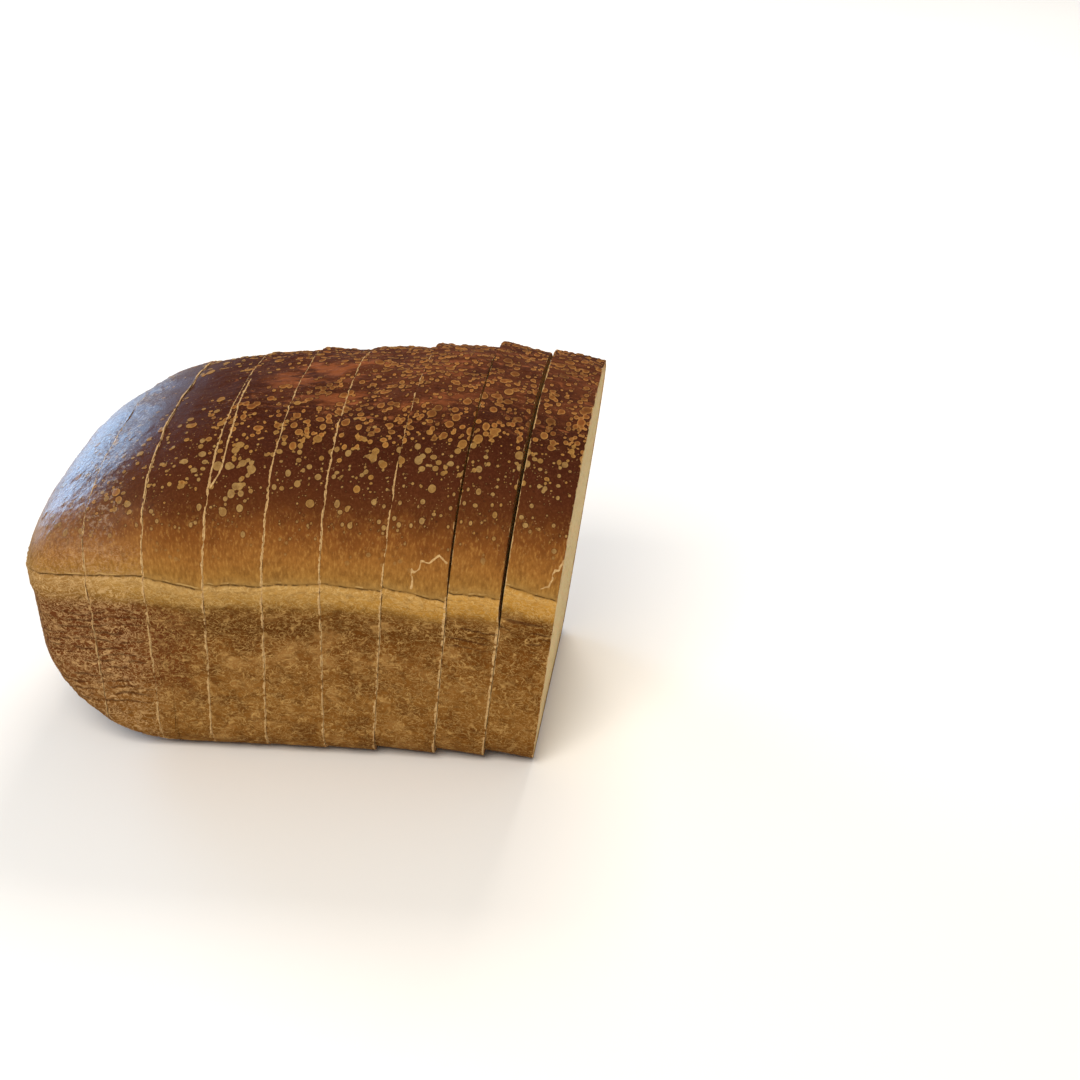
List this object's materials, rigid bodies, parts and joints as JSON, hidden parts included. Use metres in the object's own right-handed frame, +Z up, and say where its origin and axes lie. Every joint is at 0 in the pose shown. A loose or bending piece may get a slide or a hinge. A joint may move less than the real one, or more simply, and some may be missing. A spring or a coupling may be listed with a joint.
{
  "type": "sliced tin loaf",
  "caption": "Rounded end of a crusty domed tin loaf of bread, cut into upright slices that still stand together.",
  "frame": {"origin": "middle of the loaf's length and width, on the table", "axes": "+X along the loaf from the rounded heel to the open cut face, -Y towards the side with the long seam that faces the viewer, +Z up"},
  "size_m": [0.1846, 0.1226, 0.1214],
  "materials": {
    "heel_crust": "baked crust, satin",
    "slice_crust": "baked crust outside, soft crumb on the cut faces"
  },
  "bodies": {
    "root": {"heel": "heel_crust", "slice_1": "slice_crust", "slice_2": "slice_crust", "slice_3": "slice_crust", "slice_4": "slice_crust", "slice_5": "slice_crust", "slice_6": "slice_crust", "slice_7": "slice_crust", "slice_8": "slice_crust"}
  },
  "joints": []
}
